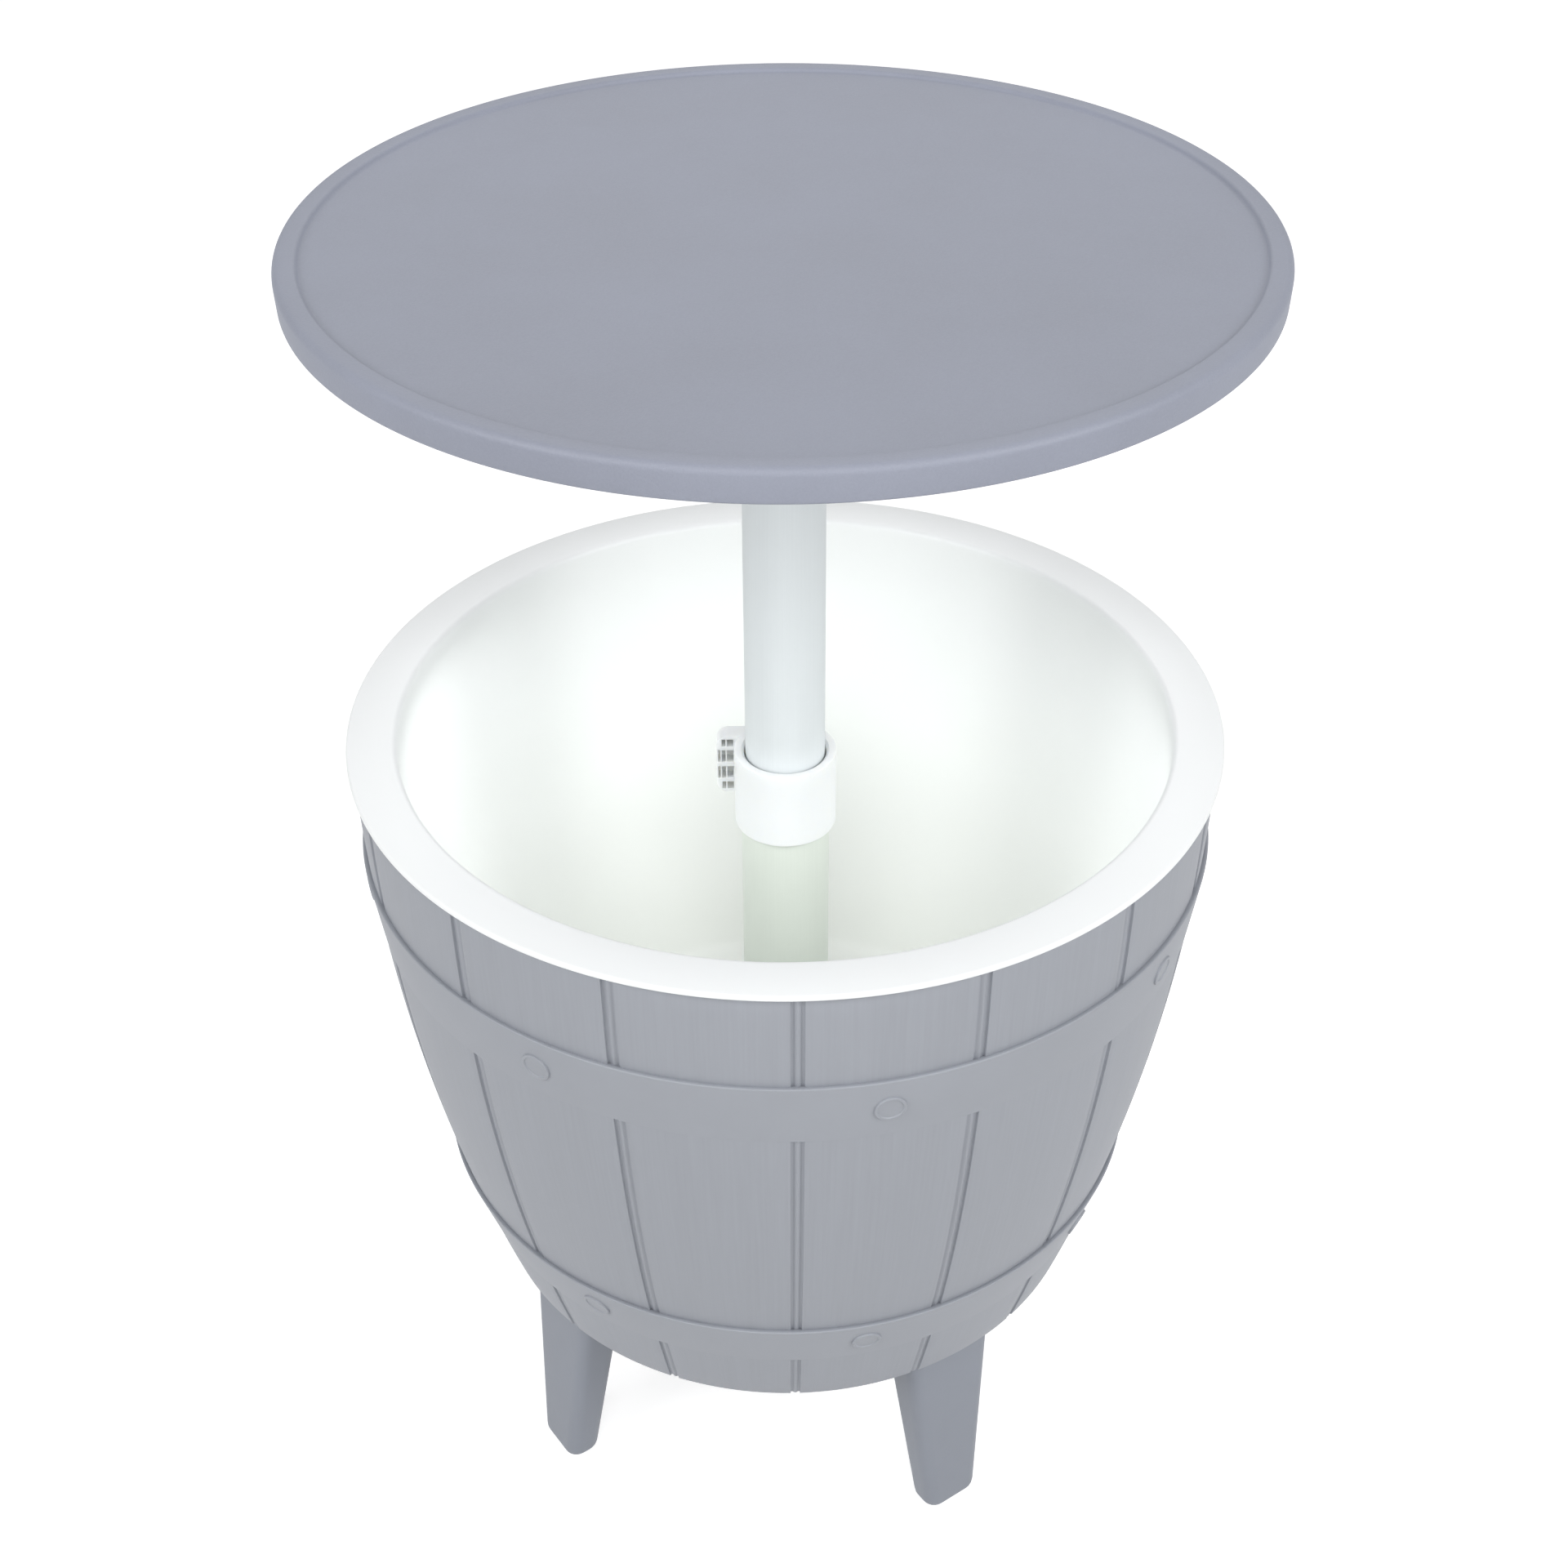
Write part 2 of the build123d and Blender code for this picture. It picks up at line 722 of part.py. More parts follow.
# Grip sleeve: split ring between the collar and the upper tube
sleeve_split = 3.0

with BuildPart() as grip_sleeve:
    ring(
        upper_tube_radius + running_clearance,
        lower_tube_radius,
        grip_sleeve_foot,
        grip_sleeve_foot + grip_sleeve_height,
    )
    with BuildSketch(clamp_plane(grip_sleeve_foot)):
        with Locations((0, lower_tube_radius)):
            Rectangle(sleeve_split, 2 * (lower_tube_radius - upper_tube_radius) + sleeve_split)
    extrude(amount=grip_sleeve_height, mode=Mode.SUBTRACT)

grip_sleeve.part.label = "grip_sleeve"
export_step(grip_sleeve.part, "parts/grip_sleeve.step")

# Foot of the upper tube: a rolled bead and a plug with the guide bush trapped between them
bead_height = 2.2
bush_height = 20.0
plug_flange_height = 3.5
plug_spigot_height = 14.0
plug_wall = 3.0
bead_radius = lower_tube_bore - loose_clearance
bead_foot = lower_tube_top - bead_height
bush_foot = bead_foot - loose_clearance - bush_height
upper_tube_foot = bush_foot - loose_clearance

with BuildPart() as guide_bush:
    ring(
        upper_tube_radius + running_clearance,
        lower_tube_bore - running_clearance,
        bush_foot,
        bush_foot + bush_height,
    )

guide_bush.part.label = "guide_bush"
export_step(guide_bush.part, "parts/guide_bush.step")

with BuildPart() as tube_plug:
    ring(0, bead_radius, upper_tube_foot - plug_flange_height, upper_tube_foot)
    ring(0, upper_tube_bore - fit_clearance, upper_tube_foot, upper_tube_foot + plug_spigot_height)
    bore(
        upper_tube_bore - fit_clearance - plug_wall,
        upper_tube_foot,
        upper_tube_foot + plug_spigot_height,
    )

tube_plug.part.label = "tube_plug"
export_step(tube_plug.part, "parts/tube_plug.step")

# Table top: round lid with a raised lip, a skirt and a ribbed underside
lip_width = 11.5
lip_step = 2.4
lip_slope = 1.2
table_wall = 3.0
skirt_height = 17.3
skirt_draft = 1.0
table_edge = 4.0
skirt_edge = 1.4
table_rib_wall = 2.2
table_rib_height = 8.5
table_rib_count = 12
table_rib_rings = (90.0, 148.0, 206.0)
tube_seat_wall = 3.2
hub_radius = 60.0
hub_screw_place = 48.0
hub_screw_count = 6
hub_screw_turn = 30.0
hub_screw_length = 12.4
table_face = table_height - lip_step
table_under = table_face - table_wall
table_rib_foot = table_under - table_rib_height
tube_seat = upper_tube_radius + fit_clearance

with BuildPart() as tabletop:
    with BuildSketch(Plane.XZ):
        with BuildLine():
            Polyline(
                (0, table_face),
                (table_radius - lip_width - lip_slope, table_face),
                (table_radius - lip_width, table_height),
                (table_radius, table_height),
                (table_radius - skirt_draft, table_height - skirt_height),
                (table_radius - skirt_draft - table_wall, table_height - skirt_height),
                (table_radius - table_wall, table_under),
                (0, table_under),
                close=True,
            )
        make_face()
    revolve(axis=Axis.Z)
    fillet(
        tabletop.edges().filter_by_position(Axis.Z, table_height, table_height).sort_by(
            SortBy.RADIUS
        )[-1],
        table_edge,
    )
    fillet(tabletop.edges().group_by(Axis.Z)[0].sort_by(SortBy.RADIUS)[-1], skirt_edge)
    with BuildSketch(Plane.XY.offset(table_rib_foot)):
        for radius in table_rib_rings:
            Circle(radius)
            Circle(radius - table_rib_wall, mode=Mode.SUBTRACT)
        with PolarLocations(table_rib_rings[-1] / 2, table_rib_count):
            Rectangle(table_rib_rings[-1], table_rib_wall)
        with PolarLocations(hub_screw_place, hub_screw_count, start_angle=hub_screw_turn):
            Circle(screw_boss_radius)
        Circle(tube_seat + tube_seat_wall)
        Circle(tube_seat, mode=Mode.SUBTRACT)
        with PolarLocations(hub_screw_place, hub_screw_count, start_angle=hub_screw_turn):
            Circle(screw_hole, mode=Mode.SUBTRACT)
    extrude(amount=table_rib_height)

tabletop.part.label = "tabletop"
export_step(tabletop.part, "parts/tabletop.step")

# Table hub and its cross bolt join the upper tube to the table top
hub_flange_height = 4.0
hub_sleeve_wall = 4.0
hub_sleeve_length = 12.0
hub_rib_wall = 3.0
hub_rib_reach = 26.0
tube_bolt_radius = 2.5
tube_bolt_drop = 6.6
tube_bolt_head_radius = 4.6
tube_bolt_head_height = 3.0
hub_foot = table_rib_foot - hub_flange_height
hub_sleeve_radius = tube_seat + hub_sleeve_wall
tube_bolt_level = hub_foot - tube_bolt_drop
tube_bolt_hole = tube_bolt_radius + fit_clearance


def tube_bolt_drilling():
    # Hole for the cross bolt, front to back through the part being built
    with BuildSketch(Plane.XZ) as outline:
        with Locations((0, tube_bolt_level)):
            Circle(tube_bolt_hole)
    extrude(outline.sketch, amount=hub_radius, both=True, mode=Mode.SUBTRACT)


# Upper tube: slides in the lower tube, and is seated in the table top
with BuildPart() as upper_tube:
    ring(upper_tube_bore, upper_tube_radius, upper_tube_foot, table_under)
    ring(upper_tube_bore, bead_radius, bead_foot, lower_tube_top)
    tube_bolt_drilling()

upper_tube.part.label = "upper_tube"
export_step(upper_tube.part, "parts/upper_tube.step")

with BuildPart() as table_hub:
    ring(0, hub_radius, hub_foot, table_rib_foot)
    ring(0, hub_sleeve_radius, hub_foot - hub_sleeve_length, hub_foot)
    with BuildSketch(Plane.XZ):
        with BuildLine():
            Polyline(
                (tube_seat, hub_foot),
                (tube_seat + hub_rib_reach, hub_foot),
                (hub_sleeve_radius, hub_foot - hub_sleeve_length + hub_rib_wall),
                (tube_seat, hub_foot - hub_sleeve_length + hub_rib_wall),
                close=True,
            )
        make_face()
    hub_rib = extrude(amount=hub_rib_wall / 2, both=True, mode=Mode.PRIVATE)
    with PolarLocations(0, hub_screw_count):
        add(hub_rib)
    bore(tube_seat, hub_foot - hub_sleeve_length, table_rib_foot)
    with BuildSketch(Plane.XY.offset(hub_foot)):
        with PolarLocations(hub_screw_place, hub_screw_count, start_angle=hub_screw_turn):
            Circle(screw_hole)
    extrude(amount=hub_flange_height, mode=Mode.SUBTRACT)
    tube_bolt_drilling()

table_hub.part.label = "table_hub"
export_step(table_hub.part, "parts/table_hub.step")

with BuildPart() as hub_screws:
    for turn in around(hub_screw_count, hub_screw_turn):
        head_plane = Plane(
            origin=(*polar(hub_screw_place, turn), hub_foot), x_dir=(1, 0, 0), z_dir=(0, 0, -1)
        )
        screw(head_plane, hub_screw_length)

hub_screws.part.label = "hub_screws"
export_step(hub_screws.part, "parts/hub_screws.step")

with BuildPart() as tube_bolt:
    front_plane = Plane.XZ.offset(hub_sleeve_radius)
    with BuildSketch(front_plane):
        with Locations((0, tube_bolt_level)):
            Circle(tube_bolt_head_radius)
    extrude(amount=tube_bolt_head_height)
    with BuildSketch(front_plane):
        with Locations((0, tube_bolt_level)):
            Circle(tube_bolt_radius)
    extrude(amount=-(2 * hub_sleeve_radius + tube_bolt_head_height))

tube_bolt.part.label = "tube_bolt"
export_step(tube_bolt.part, "parts/tube_bolt.step")

with BuildPart() as tube_nut:
    with BuildSketch(Plane.XZ.offset(-hub_sleeve_radius)):
        with Locations((0, tube_bolt_level)):
            RegularPolygon(tube_bolt_head_radius, hex_sides)
            Circle(tube_bolt_hole, mode=Mode.SUBTRACT)
    extrude(amount=-tube_bolt_head_height)

tube_nut.part.label = "tube_nut"
export_step(tube_nut.part, "parts/tube_nut.step")

# Drain: flanged spout through both floors with a gasket, a nut, and a screw cap with a washer
drain_spout_edge = 1.0
drain_nut_radius = 16.0
drain_nut_height = 7.0
cap_wall = 3.6
cap_sole = 3.0
cap_depth = 10.0
cap_rib_count = 16
cap_rib_radius = 1.2
washer_height = 1.9
cap_bore = drain_radius + loose_clearance
cap_radius = cap_bore + cap_wall
cap_floor = drain_foot - washer_height - 2 * fit_clearance
flange_foot = liner_floor + drain_gasket_height


def drain_ring(inner, outer, low, high):
    # Ring about the drain between two radii and two heights, in the part being built
    with BuildSketch(Plane.XY.offset(low)) as outline:
        with Locations((drain_x, drain_y)):
            Circle(outer)
            if inner > 0:
                Circle(inner, mode=Mode.SUBTRACT)
    extrude(outline.sketch, amount=high - low)


with BuildPart() as drain_spout:
    drain_ring(drain_bore, drain_radius, drain_foot, flange_foot)
    drain_ring(drain_bore, drain_flange_radius, flange_foot, flange_foot + drain_flange_height)
    fillet(drain_spout.edges().group_by(Axis.Z)[-1], drain_spout_edge)

drain_spout.part.label = "drain_spout"
export_step(drain_spout.part, "parts/drain_spout.step")

with BuildPart() as drain_gasket:
    drain_ring(drain_hole, drain_flange_radius - fit_clearance, liner_floor, flange_foot)

drain_gasket.part.label = "drain_gasket"
export_step(drain_gasket.part, "parts/drain_gasket.step")

with BuildPart() as drain_nut:
    with BuildSketch(Plane.XY.offset(shell_floor - drain_nut_height)):
        with Locations((drain_x, drain_y)):
            RegularPolygon(drain_nut_radius, hex_sides)
            Circle(drain_hole, mode=Mode.SUBTRACT)
    extrude(amount=drain_nut_height)

drain_nut.part.label = "drain_nut"
export_step(drain_nut.part, "parts/drain_nut.step")

with BuildPart() as drain_washer:
    drain_ring(0, drain_radius - fit_clearance, cap_floor + fit_clearance, drain_foot - fit_clearance)

drain_washer.part.label = "drain_washer"
export_step(drain_washer.part, "parts/drain_washer.step")

with BuildPart() as drain_cap:
    drain_ring(0, cap_radius, cap_floor - cap_sole, cap_floor + cap_depth)
    with BuildSketch(Plane.XY.offset(cap_floor - cap_sole)):
        with Locations((drain_x, drain_y)):
            with PolarLocations(cap_radius, cap_rib_count):
                Circle(cap_rib_radius)
    extrude(amount=cap_sole + cap_depth)
    with BuildSketch(Plane.XY.offset(cap_floor)):
        with Locations((drain_x, drain_y)):
            Circle(cap_bore)
    extrude(amount=cap_depth, mode=Mode.SUBTRACT)

drain_cap.part.label = "drain_cap"
export_step(drain_cap.part, "parts/drain_cap.step")
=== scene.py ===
import json
import math

import bpy
from mathutils import Matrix, Vector


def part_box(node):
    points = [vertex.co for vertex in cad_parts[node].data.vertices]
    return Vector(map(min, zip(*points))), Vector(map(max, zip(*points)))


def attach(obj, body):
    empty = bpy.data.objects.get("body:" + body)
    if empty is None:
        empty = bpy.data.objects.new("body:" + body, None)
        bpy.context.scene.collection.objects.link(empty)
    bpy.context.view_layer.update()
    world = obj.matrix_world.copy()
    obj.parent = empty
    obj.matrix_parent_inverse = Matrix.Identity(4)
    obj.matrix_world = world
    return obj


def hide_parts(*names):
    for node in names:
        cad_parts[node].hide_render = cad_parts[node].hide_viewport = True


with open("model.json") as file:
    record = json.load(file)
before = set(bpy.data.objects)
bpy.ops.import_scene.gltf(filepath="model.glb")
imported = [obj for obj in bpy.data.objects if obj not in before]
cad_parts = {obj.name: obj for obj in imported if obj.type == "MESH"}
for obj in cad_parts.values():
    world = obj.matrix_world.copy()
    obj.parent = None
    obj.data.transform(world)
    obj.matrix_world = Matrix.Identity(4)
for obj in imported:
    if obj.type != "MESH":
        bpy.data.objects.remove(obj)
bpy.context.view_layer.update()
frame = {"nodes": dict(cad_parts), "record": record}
nodes = frame["nodes"]
mm = 0.001
print("frame loaded:", len(nodes), "nodes")

# Heights and radii that several pieces share, read from the frame
tableLow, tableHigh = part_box("tabletop")
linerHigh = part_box("liner_tub")[1]
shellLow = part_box("barrel_shell")[0]
tableFoot = tableLow.z
tableTop = tableHigh.z
tableRadius = tableHigh.x
rimTop = linerHigh.z
rimRadius = linerHigh.x
shellFoot = shellLow.z

# Modelling helpers
precision = {
    "weld": 0.01 * mm,      # vertices closer than this are one
    "sliver": 0.005 * mm,   # shorter edges are dissolved
    "pick": 0.05 * mm,      # how near a picked corner lies to its place
    "upright": 0.99,        # normals above this face up
    "roundSides": 64,
}


def objectMode():
    if bpy.context.object and bpy.context.object.mode != "OBJECT":
        bpy.ops.object.mode_set(mode="OBJECT")


def clearSelection():
    objectMode()
    bpy.ops.object.select_all(action="DESELECT")


def makeActive(piece):
    clearSelection()
    piece.select_set(True)
    bpy.context.view_layer.objects.active = piece


def editMode(piece, kind="VERT"):
    makeActive(piece)
    bpy.ops.object.mode_set(mode="EDIT")
    bpy.ops.mesh.select_mode(type=kind)


def selectParts(piece, kind, parts, test):  # leaves the piece in edit mode with the chosen parts picked
    editMode(piece, kind)
    bpy.ops.mesh.select_all(action="DESELECT")
    bpy.ops.object.mode_set(mode="OBJECT")
    for part in getattr(piece.data, parts):
        part.select = test(part)
    bpy.ops.object.mode_set(mode="EDIT")


def selectVerts(piece, test):
    selectParts(piece, "VERT", "vertices", lambda vertex: test(vertex.co))


def selectEdges(piece, test):  # the test gets both ends of each edge
    def testEnds(edge):
        return test(*(piece.data.vertices[end].co for end in edge.vertices))

    selectParts(piece, "EDGE", "edges", testEnds)


def selectFaces(piece, test):  # the test gets each face's normal
    selectParts(piece, "FACE", "polygons", lambda face: test(face.normal))


def tracePath(name, points, closed=False):  # draws an outline in the XZ plane, vertex by vertex
    clearSelection()
    bpy.ops.mesh.primitive_plane_add(size=mm, location=(0, 0, 0))
    piece = bpy.context.object
    piece.name = name
    editMode(piece)
    bpy.ops.mesh.select_all(action="SELECT")
    bpy.ops.mesh.merge(type="CENTER")
    bpy.ops.transform.translate(value=(points[0][0], 0, points[0][1]))
    for before, after in zip(points, points[1:]):
        step = (after[0] - before[0], 0, after[1] - before[1])
        bpy.ops.mesh.extrude_region_move(TRANSFORM_OT_translate={"value": step})
    if closed:
        first, last = points[0], points[-1]
        step = (first[0] - last[0], 0, first[1] - last[1])
        bpy.ops.mesh.extrude_region_move(TRANSFORM_OT_translate={"value": step})
        bpy.ops.mesh.select_all(action="SELECT")
        bpy.ops.mesh.remove_doubles(threshold=precision["weld"])
    objectMode()
    return piece


def roundCorner(piece, corner, radius, segments):  # rounds one corner of a traced outline
    place = Vector((corner[0], 0, corner[1]))
    selectVerts(piece, lambda co: (co - place).length < precision["pick"])
    bpy.ops.mesh.bevel(affect="VERTICES", offset=radius, segments=segments, clamp_overlap=False)
    objectMode()


def closeUp(piece):
    editMode(piece)
    bpy.ops.mesh.select_all(action="SELECT")
    bpy.ops.mesh.remove_doubles(threshold=precision["weld"])
    bpy.ops.mesh.dissolve_degenerate(threshold=precision["sliver"])
    bpy.ops.mesh.normals_make_consistent(inside=False)
    objectMode()


def spinRound(piece, steps):  # turns the outline about the mast and closes it
    editMode(piece)
    bpy.ops.mesh.select_all(action="SELECT")
    bpy.ops.mesh.spin(steps=steps, angle=math.tau, center=(0, 0, 0), axis=(0, 0, 1))
    closeUp(piece)


def softenEdges(piece, width, segments, angle):
    makeActive(piece)
    bevel = piece.modifiers.new("softEdges", "BEVEL")
    bevel.width = width
    bevel.segments = segments
    bevel.limit_method = "ANGLE"
    bevel.angle_limit = math.radians(angle)
    bpy.ops.object.modifier_apply(modifier=bevel.name)


def turnRound(piece, degrees):  # turns a piece about the mast
    makeActive(piece)
    bpy.ops.object.transform_apply(location=True, rotation=True, scale=True)
    piece.rotation_euler.z = math.radians(degrees)
    bpy.ops.object.transform_apply(rotation=True)


def joinPieces(pieces):
    clearSelection()
    for piece in pieces:
        piece.select_set(True)
    bpy.context.view_layer.objects.active = pieces[0]
    bpy.ops.object.join()
    return pieces[0]


def copyAround(piece, count, start=0):  # spreads copies of a piece about the mast and joins them
    turnRound(piece, start)
    copies = [piece]
    for step in range(1, count):
        makeActive(piece)
        bpy.ops.object.duplicate(linked=False)
        copies.append(bpy.context.object)
        turnRound(copies[-1], 360 * step / count)
    return joinPieces(copies)


def drillHole(piece, place, radius, depth):
    clearSelection()
    bpy.ops.mesh.primitive_cylinder_add(
        vertices=precision["roundSides"], radius=radius, depth=depth, location=place)
    drill = bpy.context.object
    makeActive(piece)
    cut = piece.modifiers.new("hole", "BOOLEAN")
    cut.operation = "DIFFERENCE"
    cut.solver = "EXACT"
    cut.object = drill
    bpy.ops.object.modifier_apply(modifier=cut.name)
    bpy.data.objects.remove(drill)


def finishPiece(piece, material, body, smoothAngle, standsFor=()):
    makeActive(piece)
    bpy.ops.object.transform_apply(location=True, rotation=True, scale=True)
    bpy.ops.object.shade_smooth_by_angle(angle=math.radians(smoothAngle))
    piece.data.materials.clear()
    piece.data.materials.append(material)
    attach(piece, body)
    if standsFor:
        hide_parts(*standsFor)
    clearSelection()
    print("piece:", piece.name, len(piece.data.polygons), "faces")


# Material helpers

def newMaterial(name, colour, roughness, specular=0.5):
    material = bpy.data.materials.new(name)
    material.use_nodes = True
    tree = material.node_tree
    shader = tree.nodes["Principled BSDF"]
    shader.inputs["Base Color"].default_value = (*colour, 1)
    shader.inputs["Roughness"].default_value = roughness
    shader.inputs["Specular IOR Level"].default_value = specular
    return material, tree, shader


def setInputs(tree, node, values):  # each value is a plain one or another node's output
    for name, value in values.items():
        if isinstance(value, bpy.types.NodeSocket):
            tree.links.new(value, node.inputs[name])
        else:
            node.inputs[name].default_value = value


def addNode(tree, kind, values, operation=None):
    node = tree.nodes.new("ShaderNode" + kind)
    if operation:
        node.operation = operation
    setInputs(tree, node, values)
    return node.outputs


def addMath(tree, operation, *values):
    return addNode(tree, "Math", dict(enumerate(values)), operation)[0]


def addNoise(tree, vector, scale, detail, roughness):
    return addNode(tree, "TexNoise", {
        "Scale": scale, "Detail": detail, "Roughness": roughness, "Vector": vector})["Fac"]


def remap(tree, value, low, high, start=0, end=1):  # takes start..end to low..high
    return addNode(tree, "MapRange", {
        "From Min": start, "From Max": end, "To Min": low, "To Max": high, "Value": value})["Result"]


def tintBy(tree, shader, factor, dark, light, low=0.3, high=0.7):  # colour that follows a pattern
    ramp = tree.nodes.new("ShaderNodeValToRGB")
    for element, position, colour in zip(ramp.color_ramp.elements, (low, high), (dark, light)):
        element.position = position
        element.color = (*colour, 1)
    tree.links.new(factor, ramp.inputs["Fac"])
    tree.links.new(ramp.outputs["Color"], shader.inputs["Base Color"])


def shadeBy(tree, shader, factor, colour, shades, *band):  # darker and lighter shades of one colour
    dark, light = (tuple(part * shade for part in colour) for shade in shades)
    tintBy(tree, shader, factor, dark, light, *band)


def bumpBy(tree, shader, height, distance, strength):
    bump = addNode(tree, "Bump", {"Distance": distance, "Strength": strength, "Height": height})
    tree.links.new(bump["Normal"], shader.inputs["Normal"])


def roughenBy(tree, shader, factor, low, high):
    tree.links.new(remap(tree, factor, low, high), shader.inputs["Roughness"])


def objectCoords(tree):
    return tree.nodes.new("ShaderNodeTexCoord").outputs["Object"]


def roundCoords(tree, squeeze):  # direction from the mast and a squeezed height, so grain runs upright
    split = addNode(tree, "SeparateXYZ", {0: objectCoords(tree)})
    flat = addNode(tree, "CombineXYZ", {"X": split["X"], "Y": split["Y"]})
    direction = addNode(tree, "VectorMath", {0: flat[0]}, "NORMALIZE")
    spread = addNode(tree, "VectorMath", {0: direction[0], "Scale": grainRadius}, "SCALE")
    parts = addNode(tree, "SeparateXYZ", {0: spread[0]})
    height = addMath(tree, "MULTIPLY", split["Z"], squeeze)
    return addNode(tree, "CombineXYZ", {"X": parts["X"], "Y": parts["Y"], "Z": height})[0]


# Materials: each noise is given as scale, detail and roughness, each bump as distance and strength
barrelGrey = (0.323, 0.339, 0.375)
topGrey = (0.285, 0.303, 0.368)
legGrey = (0.250, 0.269, 0.311)
grainRadius = 0.22  # the upright grain is drawn on a cylinder of this radius

staveLook = {
    "fineSqueeze": 0.02,
    "fine": (700, 3, 0.6),
    "broadSqueeze": 0.05,
    "broad": (120, 2, 0.5),
    "share": 0.5,
    "shades": (0.965, 1.03),
    "band": (0.35, 0.65),
    "base": 0.52,
    "roughness": (0.46, 0.6),
    "bump": (0.3 * mm, 0.45),
}


def makeStavePlastic():
    look = staveLook
    material, tree, shader = newMaterial("stavePlastic", barrelGrey, look["base"])
    fine = addNoise(tree, roundCoords(tree, look["fineSqueeze"]), *look["fine"])
    broad = addNoise(tree, roundCoords(tree, look["broadSqueeze"]), *look["broad"])
    blend = addMath(tree, "MULTIPLY", addMath(tree, "ADD", fine, broad), look["share"])
    shadeBy(tree, shader, blend, barrelGrey, look["shades"], *look["band"])
    roughenBy(tree, shader, broad, *look["roughness"])
    bumpBy(tree, shader, blend, *look["bump"])
    return material


smoothLook = {
    "fine": (2, 0.6),
    "broad": (14, 3, 0.55),
    "shades": (0.965, 1.03),
    "smoother": 0.05,
    "rougher": 0.06,
    "strength": 0.5,
}
smoothColours = {  # colour, roughness, scale of the fine grain, bump distance
    "hoopPlastic": (barrelGrey, 0.5, 500, 0.12 * mm),
    "legPlastic": (legGrey, 0.5, 400, 0.15 * mm),
    "darkPlastic": ((0.12, 0.125, 0.135), 0.5, 500, 0.1 * mm),
    "sealRubber": ((0.035, 0.035, 0.037), 0.7, 700, 0.15 * mm),
}


def makeSmoothGrey(name):
    look = smoothLook
    colour, roughness, grain, bump = smoothColours[name]
    material, tree, shader = newMaterial(name, colour, roughness)
    coords = objectCoords(tree)
    fine = addNoise(tree, coords, grain, *look["fine"])
    broad = addNoise(tree, coords, *look["broad"])
    shadeBy(tree, shader, broad, colour, look["shades"])
    roughenBy(tree, shader, broad, roughness - look["smoother"], roughness + look["rougher"])
    bumpBy(tree, shader, fine, bump, look["strength"])
    return material


topLook = {
    "speck": (900, 2, 0.7),
    "broad": (9, 3, 0.55),
    "share": 0.45,
    "shades": (0.93, 1.06),
    "band": (0.5, 0.95),
    "base": 0.55,
    "roughness": (0.48, 0.62),
    "bump": (0.25 * mm, 0.6),
}


def makeTopPlastic():
    look = topLook
    material, tree, shader = newMaterial("topPlastic", topGrey, look["base"])
    coords = objectCoords(tree)
    speck = addNoise(tree, coords, *look["speck"])
    broad = addNoise(tree, coords, *look["broad"])
    blend = addMath(tree, "MULTIPLY_ADD", speck, look["share"], broad)
    shadeBy(tree, shader, blend, topGrey, look["shades"], *look["band"])
    roughenBy(tree, shader, broad, *look["roughness"])
    bumpBy(tree, shader, speck, *look["bump"])
    return material


whiteLook = {
    "broad": (10, 3, 0.5),
    "fine": (600, 2, 0.6),
    "bump": (0.08 * mm, 0.3),
}
clampLook = {
    "colour": (0.81, 0.83, 0.83),
    "shades": (0.985, 1),
    "base": 0.42,
    "roughness": (0.37, 0.48),
    "glow": {"Subsurface Weight": 0.8, "Subsurface Radius": (1, 0.95, 0.85), "Subsurface Scale": 6 * mm},
}
linerLook = {
    "colour": (0.955, 0.972, 0.97),
    "shadedLowColour": (0.945, 0.962, 0.93),
    "heights": (200 * mm, 440 * mm),  # between them the darker, warmer low white, painted shade deep in the tub, turns into the upper one
    "uneven": 0.1,
    "band": (0.05, 1.0),
    "base": 0.38,
    "roughness": (0.33, 0.44),
}


def makeWhite(name, look):  # what both whites share
    material, tree, shader = newMaterial(name, look["colour"], look["base"])
    coords = objectCoords(tree)
    broad = addNoise(tree, coords, *whiteLook["broad"])
    fine = addNoise(tree, coords, *whiteLook["fine"])
    roughenBy(tree, shader, broad, *look["roughness"])
    bumpBy(tree, shader, fine, *whiteLook["bump"])
    return material, tree, shader, broad


def makeClampPlastic():  # light passes a little way into this plastic
    look = clampLook
    material, tree, shader, broad = makeWhite("clampPlastic", look)
    shadeBy(tree, shader, broad, look["colour"], look["shades"])
    setInputs(tree, shader, look["glow"])
    return material


def makeLinerPlastic():
    look = linerLook
    material, tree, shader, broad = makeWhite("linerPlastic", look)
    # Painted shade: the white turns darker and warmer lower down in the tub, with random patches mixed
    # in
    height = addNode(tree, "SeparateXYZ", {0: objectCoords(tree)})["Z"]
    climb = remap(tree, height, 0, 1, *look["heights"])
    patchesAndShade = addMath(tree, "MULTIPLY_ADD", broad, look["uneven"], climb)
    tintBy(tree, shader, patchesAndShade, look["shadedLowColour"], look["colour"], *look["band"])
    return material


tubeLook = {
    "squeeze": 0.01,
    "streaks": (900, 3, 0.6),
    "shades": (0.96, 1.02),
    "spread": 0.05,
    "bump": (0.06 * mm, 0.3),
}
tubeColours = {  # colour, roughness
    "upperTubeCoating": ((0.745, 0.785, 0.80), 0.45),
    "lowerTubeCoating": ((0.66, 0.708, 0.648), 0.4),
}


def makeTubeCoating(name):
    look = tubeLook
    colour, roughness = tubeColours[name]
    material, tree, shader = newMaterial(name, colour, roughness)
    streaks = addNoise(tree, roundCoords(tree, look["squeeze"]), *look["streaks"])
    shadeBy(tree, shader, streaks, colour, look["shades"])
    roughenBy(tree, shader, streaks, roughness - look["spread"], roughness + look["spread"])
    bumpBy(tree, shader, streaks, *look["bump"])
    return material


